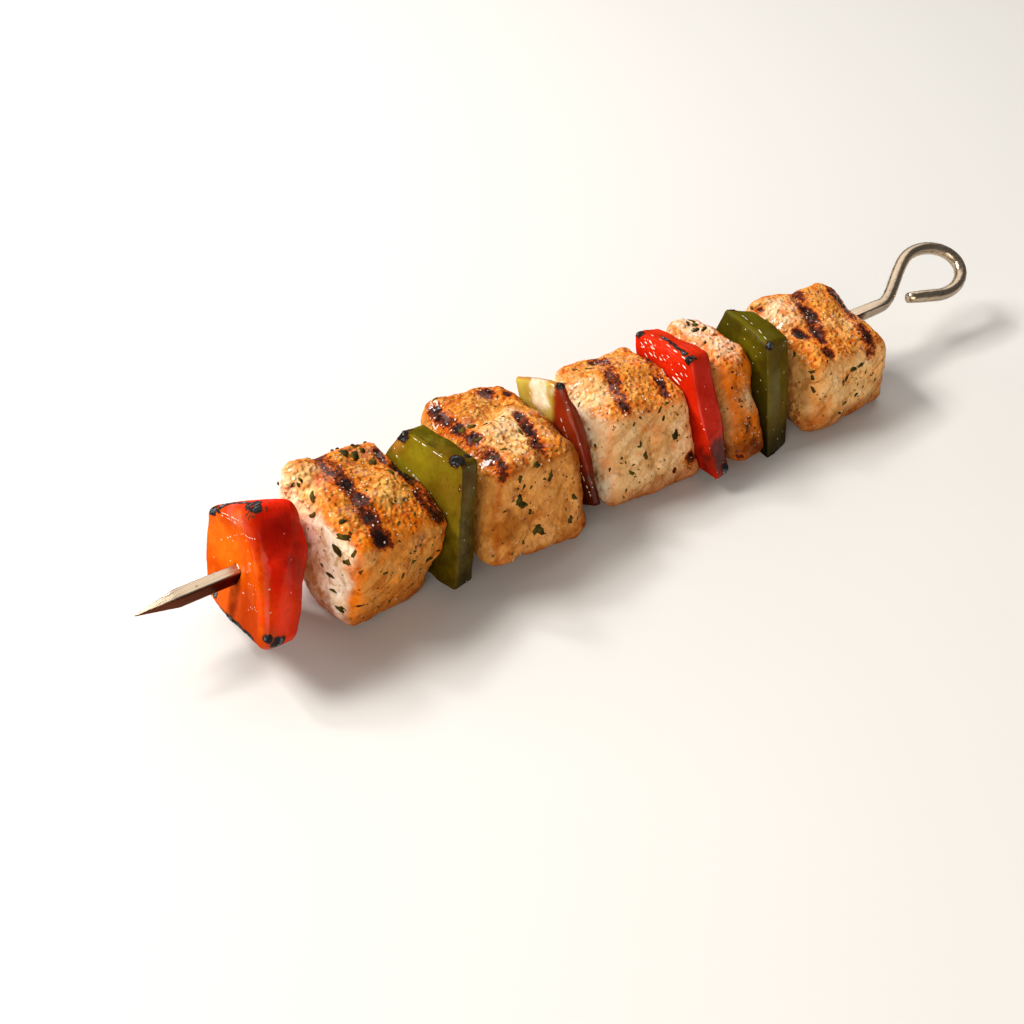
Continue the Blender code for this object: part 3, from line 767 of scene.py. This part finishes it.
pepper("red_pepper_2", 6, 1.3, dict(
    at=(50.0, -3.4, 16.0), size=(7.4, 23.6, 29.2), turn=(-4, 4, -1),
    end_w=0.06, end_h=0.01, top_w=0.10, top_l=0.01, lean=5.4, slope=-1.2,
    puff=(0.8, 0.4, 0.4), cup=0.4, dome=1.6, waves=(0.25, 5.0)),
    dict(tip=(0.60, 0.018, 0.003), near=(0.62, 0.026, 0.012), top=(0.60, 0.03, 0.008),
         far=(0.50, 0.025, 0.005), ring=(0.45, 0.02, 0.004), foot=(0.10, 0.005, 0.002)),
    burns=((12.5, -7.0, 31.6, 1.2), (15.7, -21.0, 5.0, 2.0),
           (15.4, 13.0, 30.0, 1.6), (12.8, 12.6, 29.4, 1.8)),
    patches=(((12.4, -4.0, 10.0), 14.0, (0.36, 0.009, 0.002), 0.8),
             ((15.4, -19.6, 9.0), 5.5, (0.06, 0.018, 0.012), 0.9)),
    rims=(((12.6, -7.5, 31.0), (12.6, -9.5, 25.0), 0.6),
          ((12.8, -7.0, 31.8), (17.5, -10.0, 32.2), 0.6),
          ((15.6, 10.0, 30.2), (13.2, -6.5, 31.7), 0.9)),
    wrinkled=((12.1, 7.0, 27.5, 4.5), (12.0, 0.0, 28.0, 4.5), (12.0, -4.5, 28.5, 3.0),
              (16.5, -1.0, 31.5, 3.0)))
pepper("green_pepper_2", 8, 1.3, dict(
    at=(74.9, -2.1, 14.6), size=(9.4, 24.8, 29.0), turn=(6, 4, -5),
    end_w=0.12, end_h=0.05, top_w=0.34, top_l=0.03, lean=1.6, slope=-0.4,
    puff=(1.0, 1.0, 0.5), cup=0.4, dome=3.2, waves=(0.25, 1.4)),
    # painted shade: the tip face is painted dark, with a lighter patch at its top where it comes out of
    # shade
    dict(GREEN_WALL, tip=(0.050, 0.037, 0.002), near=(0.12, 0.09, 0.008), top=(0.10, 0.08, 0.004)),
    burns=((36.6, -10.6, 28.9, 1.3), (39.0, 7.0, 29.4, 1.8)),
    patches=(((36.6, -4.0, 24.0), 6.0, (0.11, 0.085, 0.003), 0.9),),
    rims=(((36.9, -10.8, 28.6), (41.0, -10.6, 29.6), 0.6),), foot_shade=0.75)


# ---------------- herbs
# Dried parsley and oregano from the marinade: dark green bits of leaf, half a
# millimetre to four long, thin and slightly curled, stuck flat to the food.
LEAF_THICK, LEAF_POINTS = 0.16, 11
LEAF_LIFT, LEAF_SINK = 0.07, 0.02  # of its middle and of its rim
LEAF_SPREAD = 1.25  # makes up for the ragged rim
FAR_SIDE = 4.0      # past it a loose leaf is a large one
LOOSE_LEAVES = 170
random.seed(7)
foods = [bpy.data.objects[f"grilled_chicken_{i}"] for i in range(1, 6)]
passing = bpy.data.meshes.new("passing")


def skin_of(piece):
    """A piece's surface, ready to be searched."""
    shape = bmesh.new()
    shape.from_mesh(piece.data)
    skin = bvhtree.BVHTree.FromBMesh(shape)
    shape.free()
    return skin


skins = [skin_of(piece) for piece in foods]


def nearest_on_food(place):
    """The closest place on the searched skins and which way it faces, in metres."""
    found = [skin.find_nearest(place) for skin in skins]
    spot, way, _, _ = min(found, key=lambda hit: hit[3])
    return spot, way


def any_on_food(accept):
    """A random place on the chicken that is wanted, and which way it faces."""
    while True:
        mesh = random.choice(foods).data
        face = mesh.polygons[random.randrange(len(mesh.polygons))]
        if accept(face.normal):
            return face.center.copy(), face.normal.copy()


def showing(way):
    """Leaves out faces pressed against a neighbour or turned down."""
    return abs(way.x) < 0.55 and way.z > -0.3


def gather(shape, bit):
    """Adds one small shape to a gathering of them, which stays quick this way."""
    bit.to_mesh(passing)
    bit.free()
    shape.from_mesh(passing)


def leaf(shape, place, length):
    """One bit of leaf, laid on the food point by point."""
    width = length * random.uniform(0.35, 0.65)
    turn = random.uniform(0, math.pi)
    spot, way = nearest_on_food(place)
    side = way.orthogonal().normalized()
    side.rotate(Matrix.Rotation(turn, 3, way))
    across = way.cross(side)
    flake = bmesh.new()
    ring = bmesh.ops.create_circle(flake, cap_ends=True, segments=LEAF_POINTS, radius=1)["verts"]
    middle = bmesh.ops.poke(flake, faces=flake.faces[:])["verts"][0]
    curl = random.uniform(0.0, 0.18)
    for vertex in ring:
        reach = random.uniform(0.52, 1.15)
        along = vertex.co.x * reach * length / 2
        out = vertex.co.y * reach * width / 2
        flat = spot + (side * along + across * out) * LEAF_SPREAD * MM
        rest, up = nearest_on_food(flat)
        vertex.co = rest + up * (0.5 * curl * random.random() - LEAF_SINK) * MM
    rest, up = nearest_on_food(spot)
    middle.co = rest + up * LEAF_LIFT * MM
    gather(shape, flake)


LEAVES = (  # where, and how long
    (-88.1, -1.4, 30.7, 3.4), (-87.4, -13.6, 27.8, 3.6), (-88.8, -12.9, 24.3, 3.0),
    (-88.3, -15.7, 22.7, 3.0), (-90.4, -11.3, 16.6, 2.4), (-90.5, -12.1, 12.8, 2.2),
    (-90.1, -14.2, 8.5, 2.4), (-88.2, 3.8, 32.0, 1.2), (-90.1, 4.5, 30.9, 1.3),
    (-89.2, 3.4, 31.3, 1.3), (-89.6, -4.4, 28.4, 2.2), (-86.2, -11.2, 29.7, 1.9),
    (-86.7, -17.2, 25.6, 2.2), (-90.9, -8.7, 17.8, 1.2), (-73.1, -17.1, 16.2, 1.6),
    (-76.2, -17.4, 13.9, 2.2), (-80.9, -18.8, 18.0, 1.3), (-78.7, -15.5, 5.9, 1.6),
    (-67.6, -15.0, 12.0, 1.8), (-86.9, -17.3, 9.8, 1.8), (-68.5, -1.0, 29.0, 2.4),
    (-43.1, -15.3, 24.3, 2.0), (-44.2, -16.5, 19.8, 2.6), (-43.6, -16.9, 18.2, 2.2),
    (-35.2, -15.2, 22.2, 2.8), (-41.0, -18.9, 10.9, 2.8), (-42.0, -17.5, 15.8, 1.4),
    (-39.9, -19.1, 10.1, 3.0), (-28.8, -16.7, 13.7, 2.2), (-31.0, -18.3, 8.6, 2.0),
    (-45.2, -19.4, 9.3, 1.3), (-42.3, -15.8, 22.2, 1.2), (-38.6, -14.3, 26.0, 2.2),
    (-45.9, -1.8, 28.3, 2.2), (-41.5, 1.2, 28.3, 1.6), (-36.2, -4.8, 28.3, 2.0),
    (-43.0, -8.2, 28.3, 1.5), (2.9, -10.6, 20.0, 1.3), (-5.3, -11.8, 16.5, 1.2),
    (-6.4, -9.9, 21.6, 1.1), (5.2, -12.4, 14.7, 2.6), (-9.0, -13.5, 10.2, 2.0),
    (4.6, -9.3, 23.1, 1.2), (2.2, -9.7, 22.2, 2.0), (-4.1, -9.7, 22.4, 1.0),
    (-5.7, -12.0, 15.9, 1.2), (-4.3, -12.9, 13.1, 1.8), (-14.4, -11.9, 12.2, 1.3),
    (-14.0, 2.4, 23.4, 1.3), (-15.0, 1.7, 21.4, 1.3), (-15.8, -7.4, 17.6, 1.2),
    (48.4, -15.6, 19.3, 1.8), (48.3, -16.2, 17.8, 1.6), (48.4, -17.1, 14.4, 2.0),
    (62.7, -17.9, 15.8, 2.8), (60.3, -18.2, 13.7, 2.4), (59.1, -18.4, 13.2, 1.6),
    (63.5, -19.0, 8.0, 1.8), (58.8, -19.3, 7.4, 1.6), (57.2, -19.6, 5.3, 1.4),
    (48.5, -8.6, 20.9, 1.2), (65.7, -17.5, 16.0, 2.4))

herb_shape = bmesh.new()
for x, y, z, length in LEAVES:
    leaf(herb_shape, Vector((x, y, z)) * MM, length)
for _ in range(LOOSE_LEAVES):
    place, way = any_on_food(showing)
    span = (1.0, 3.0) if place.y > FAR_SIDE * MM else (0.5, 1.1)
    leaf(herb_shape, place, random.uniform(*span))
bmesh.ops.recalc_face_normals(herb_shape, faces=herb_shape.faces[:])
herbs = finished("herb_flakes", herb_shape)
thick = herbs.modifiers.new("leaf thickness", "SOLIDIFY")
thick.thickness, thick.offset = LEAF_THICK * MM, 0.0
n = Nodes("dried herb")
age = n.noise(420.0)
green = n.mix(n.ramp(age, 0.40, 0.60), (0.030, 0.022, 0.003), (0.080, 0.062, 0.006))
green = n.mix(n.ramp(n.noise(260.0, 2.0), 0.55, 0.68), green, (0.10, 0.055, 0.010))
herbs.data.materials.append(n.finish(
    Base_Color=green, Roughness=n.ramp(age, 0.3, 0.7, 0.45, 0.7), Specular_IOR_Level=0.05,
    Coat_Weight=0.02, Coat_Roughness=0.2,
    Normal=n.bump(n.noise(1500.0), 0.6, 0.0002)))
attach(herbs, "root")


# ---------------- spice
# Cracked pepper and burnt crumbs of the marinade: hard angular grains, mostly
# a third of a millimetre across and at most just over one, half sunk in.
GRAIN_LIFT = 0.10  # how far its middle stands out, of its size
LOOSE_GRAINS = 330
CRUMBS = (  # where, and how large
    (-86.0, 14.0, 30.5, 1.1), (-82.0, 15.0, 31.5, 1.2), (-76.0, 16.5, 32.0, 1.5),
    (-74.0, 16.5, 32.0, 1.3), (-91.5, 9.0, 29.0, 1.1), (-67.0, 15.0, 29.0, 1.0),
    (-70.5, 12.5, 31.5, 1.1), (25.7, -8.9, 24.1, 0.9), (24.9, -10.9, 20.6, 0.8),
    (26.4, -12.8, 17.4, 1.0), (28.3, -15.3, 12.5, 0.8), (22.5, -18.0, 5.7, 1.0),
    (48.9, -17.5, 13.9, 0.8), (-70.0, -9.0, 27.0, 0.9), (-47.0, 15.0, 26.0, 1.2))
grain_shape = bmesh.new()


def grain(shape, place, way, size):
    """One knobbly grain, flattened the way it faces and turned at random."""
    crumb = bmesh.new()
    corners = bmesh.ops.create_icosphere(crumb, subdivisions=1, radius=size / 2 * MM)["verts"]
    flat = Matrix.Diagonal([random.uniform(*span) for span in ((0.8, 1.3), (0.7, 1.1), (0.45, 0.8))])
    aim = way.to_track_quat("Z", "Y").to_matrix() @ Matrix.Rotation(random.uniform(0, 6.3), 3, "Z")
    for vertex in corners:
        knob = vertex.co * random.uniform(0.75, 1.2)
        vertex.co = aim @ (flat @ knob) + place + way * GRAIN_LIFT * size * MM
    gather(shape, crumb)


for _ in range(LOOSE_GRAINS):
    place, way = any_on_food(lambda way: showing(way) and way.z < 0.8)
    grain(grain_shape, place, way, random.choice((0.2, 0.25, 0.3, 0.35, 0.4, 0.5)))
for x, y, z, size in CRUMBS:
    place, way = nearest_on_food(Vector((x, y, z)) * MM)
    grain(grain_shape, place, way, size)
spice = finished("spice_grains", grain_shape, smooth=False)
n = Nodes("cracked pepper")
age = n.noise(700.0)
spice.data.materials.append(n.finish(
    Base_Color=n.mix(n.ramp(age, 0.42, 0.62), (0.020, 0.010, 0.007), (0.16, 0.055, 0.015)),
    Roughness=n.ramp(age, 0.3, 0.7, 0.35, 0.6), Specular_IOR_Level=0.1,
    Coat_Weight=0.05, Coat_Roughness=0.15,
    Normal=n.bump(n.noise(2400.0, 2.0), 0.5, 0.0001)))
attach(spice, "root")


# ---------------- juices
# Fat and juice that boiled out on the grill: fine pale beads on the peppers and the crust, and thin lines
# where they gathered in the seams and on rims. Their near-white colour and their places along rims and
# seams also make them painted highlights, standing for glints and bright reflected lines.
BEAD_HEIGHT = 0.45  # of its width
BROAD = 0.23        # wider lines run together into longer drops
DRY_SHARE = 0.25    # of a line
# pale streaks on the tip face of the second red slab, as painted highlights
STREAKS, STREAKED_X = 38, 12.0  # on the tip face of the second red slab
foods += [bpy.data.objects["grilled_" + name] for name in (
    "red_pepper_1", "green_pepper_1", "mixed_pepper", "red_pepper_2", "green_pepper_2")]
skins += [skin_of(piece) for piece in foods[5:]]
bead_shape = bmesh.new()


def bead(place, way, along, length, width):
    """One drop, lying along a way on the surface."""
    drop = bmesh.new()
    ball = bmesh.ops.create_icosphere(drop, subdivisions=2, radius=0.5 * MM)["verts"]
    along = (along - way * along.dot(way)).normalized()
    aim = Matrix((along, way.cross(along), way)).transposed()
    for vertex in ball:
        flat = Vector((vertex.co.x * length, vertex.co.y * width, vertex.co.z * BEAD_HEIGHT * width))
        vertex.co = place + aim @ flat
    gather(bead_shape, drop)


def juice_and_glint_line(start, stop, count, width):
    """Draws beads and short lines of juice from one place to another."""
    start, stop = Vector(start) * MM, Vector(stop) * MM
    longest = width * (7 if width > BROAD else 3)
    for i in range(count):
        share = (i + random.uniform(0.1, 0.9)) / count
        place, way = nearest_on_food(start.lerp(stop, share))
        length = min(longest, (stop - start).length / MM / count * random.uniform(0.4, 1.1))
        if random.random() < DRY_SHARE:
            continue
        bead(place, way, stop - start, max(width, length), width * random.uniform(0.7, 1.2))


for start, stop, count, width in (
        ((-63.9, 5.5, 27.8), (-63.6, 2.5, 26.6), 2, 0.50),
        ((-63.5, 1.5, 26.2), (-62.8, -4.0, 24.8), 5, 0.42),
        ((-62.6, -4.8, 24.6), (-62.1, -8.2, 24.8), 1, 0.60),
        ((-61.8, 1.8, 34.2), (-59.5, -10.0, 33.9), 4, 0.24),
        ((10.3, 1.8, 25.5), (11.2, -5.6, 24.2), 2, 0.50),
        ((14.4, 10.0, 29.4), (12.4, -7.0, 31.4), 7, 0.28),
        ((39.4, 4.0, 29.9), (36.8, -9.5, 29.6), 6, 0.26),
        ((-106.6, 3.0, 17.4), (-106.2, 0.6, 16.4), 2, 0.40),
        ((-23.3, 11.5, 31.2), (-22.9, 0.5, 33.4), 5, 0.30),
        ((-23.2, -3.0, 26.0), (-22.4, -15.5, 9.5), 16, 0.26),
        ((-106.5, 9.2, 19.6), (-104.8, -2.1, 28.9), 8, 0.20),
        ((-104.8, -2.1, 28.9), (-104.9, -9.8, 33.2), 14, 0.24),
        ((-105.8, 9.0, 27.5), (-104.6, -1.0, 31.6), 18, 0.28),
        ((-106.8, -4.0, 17.0), (-106.0, -16.3, 24.8), 7, 0.18),
        ((-110.2, -1.5, 10.4), (-107.2, -18.5, 20.6), 8, 0.18),
        ((-105.0, 8.0, 27.0), (-104.7, 1.0, 29.5), 12, 0.26)):
    juice_and_glint_line(start, stop, count, width)
for _ in range(STREAKS):
    high = random.uniform(25.4, 29.6)
    across = random.uniform(-6.5, 11.5)
    end = (STREAKED_X, across - random.uniform(0.8, 2.2), high - random.uniform(0.0, 0.8))
    juice_and_glint_line((STREAKED_X, across, high), end, 1, random.choice((0.18, 0.22, 0.26, 0.34, 0.42)))


def scatter_beads(count, piece, wanted, sizes):
    """Sets single beads on the faces of a piece that look a wanted way."""
    faces = [face for face in piece.data.polygons if wanted(face.normal)]
    for _ in range(count):
        face = random.choice(faces)
        size = random.choice(sizes)
        way = face.normal
        bead(face.center, way, way.orthogonal(), size * random.uniform(1, 1.6), size)


for piece in foods[:5]:
    scatter_beads(150, piece, lambda way: way.z > 0.5, (0.2, 0.2, 0.25, 0.3, 0.35, 0.45))
    scatter_beads(40, piece, lambda way: abs(way.x) < 0.5 and abs(way.z) < 0.5, (0.2, 0.25, 0.3))
for piece in foods[5:]:
    scatter_beads(20, piece, lambda way: way.x < -0.7 and way.z < 0.5, (0.2, 0.25, 0.3))
    scatter_beads(14, piece, lambda way: abs(way.y) > 0.7, (0.2, 0.25))
bpy.data.meshes.remove(passing)
beads = finished("juice_and_glint_beads", bead_shape)
n = Nodes("set juices and painted glints")
# near-white colour: the beads are fat and juice and also painted highlights
beads.data.materials.append(n.finish(
    Base_Color=n.mix(n.ramp(n.noise(200.0, 2.0), 0.4, 0.6), (0.98, 0.93, 0.82), (0.96, 0.80, 0.55)),
    Roughness=n.ramp(n.noise(900.0, 2.0), 0.3, 0.7, 0.05, 0.15),
    Transmission_Weight=0.25, IOR=1.40, Coat_Weight=1.0, Coat_Roughness=0.03))
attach(beads, "root")


# ---------------- camera and light
# The kebab lies on a pale floor. A window and a low panel stand behind it to
# the left, a broad panel behind it to the right and a small lamp between them.
# A warmer panel lights its near side.
FLOOR_HALF, FLOOR_DROP = 3.0, 0.0002
LIT_SPOT = Vector((0, 0, 0.01))
PITCH, TURN, REACH = math.radians(40.5), math.radians(34.0), 312.5
floor_shape = bmesh.new()
bmesh.ops.create_grid(floor_shape, x_segments=1, y_segments=1, size=FLOOR_HALF)
floor = finished("floor", floor_shape)
floor.location.z = -FLOOR_DROP
n = Nodes("pale floor")
floor.data.materials.append(n.finish(Base_Color=(0.66, 0.645, 0.625), Roughness=0.7))


def area_light(name, place, size, power, colour):
    lamp = bpy.data.lights.new(name, "AREA")
    lamp.shape = "RECTANGLE"
    lamp.size, lamp.size_y = size
    lamp.energy = power
    lamp.color = colour
    holder = bpy.data.objects.new(name, lamp)
    bpy.context.collection.objects.link(holder)
    holder.location = place
    holder.rotation_euler = (LIT_SPOT - Vector(place)).to_track_quat("-Z", "Y").to_euler()


area_light("window", (-0.60, 0.50, 0.80), (0.40, 0.34), 13.0, (1.0, 0.98, 0.93))
area_light("back panel", (0.85, 1.15, 1.45), (2.2, 1.6), 19.0, (1.0, 0.96, 0.91))
area_light("small lamp", (-0.35, 0.70, 0.75), (0.12, 0.12), 3.5, (1.0, 0.98, 0.95))
area_light("low panel", (-1.20, 0.95, 0.40), (0.7, 0.4), 7.0, (1.0, 0.98, 0.95))
area_light("front", (-0.80, -0.75, 0.40), (1.0, 0.5), 7.0, (1.0, 0.92, 0.80))
world = bpy.data.worlds.new("studio")
bpy.context.scene.world = world
world.use_nodes = True
air = world.node_tree.nodes["Background"].inputs
air["Color"].default_value = (1.0, 0.98, 0.95, 1.0)
air["Strength"].default_value = 0.15

right = Vector((math.cos(TURN), -math.sin(TURN), 0))
level = Vector((math.sin(TURN), math.cos(TURN), 0))
ahead = level * math.cos(PITCH) - Vector((0, 0, math.sin(PITCH)))
upward = level * math.sin(PITCH) + Vector((0, 0, math.cos(PITCH)))
lens = bpy.data.cameras.new("camera")
lens.sensor_width, lens.lens, lens.clip_start = 36.0, 43.95, 0.01
camera = bpy.data.objects.new("camera", lens)
bpy.context.collection.objects.link(camera)
camera.matrix_world = Matrix.Translation(
    (-ahead * REACH + MIDDLE) * MM) @ Matrix(
    (right, upward, -ahead)).transposed().to_4x4()
bpy.context.scene.camera = camera
bpy.context.scene.view_settings.view_transform = "Standard"
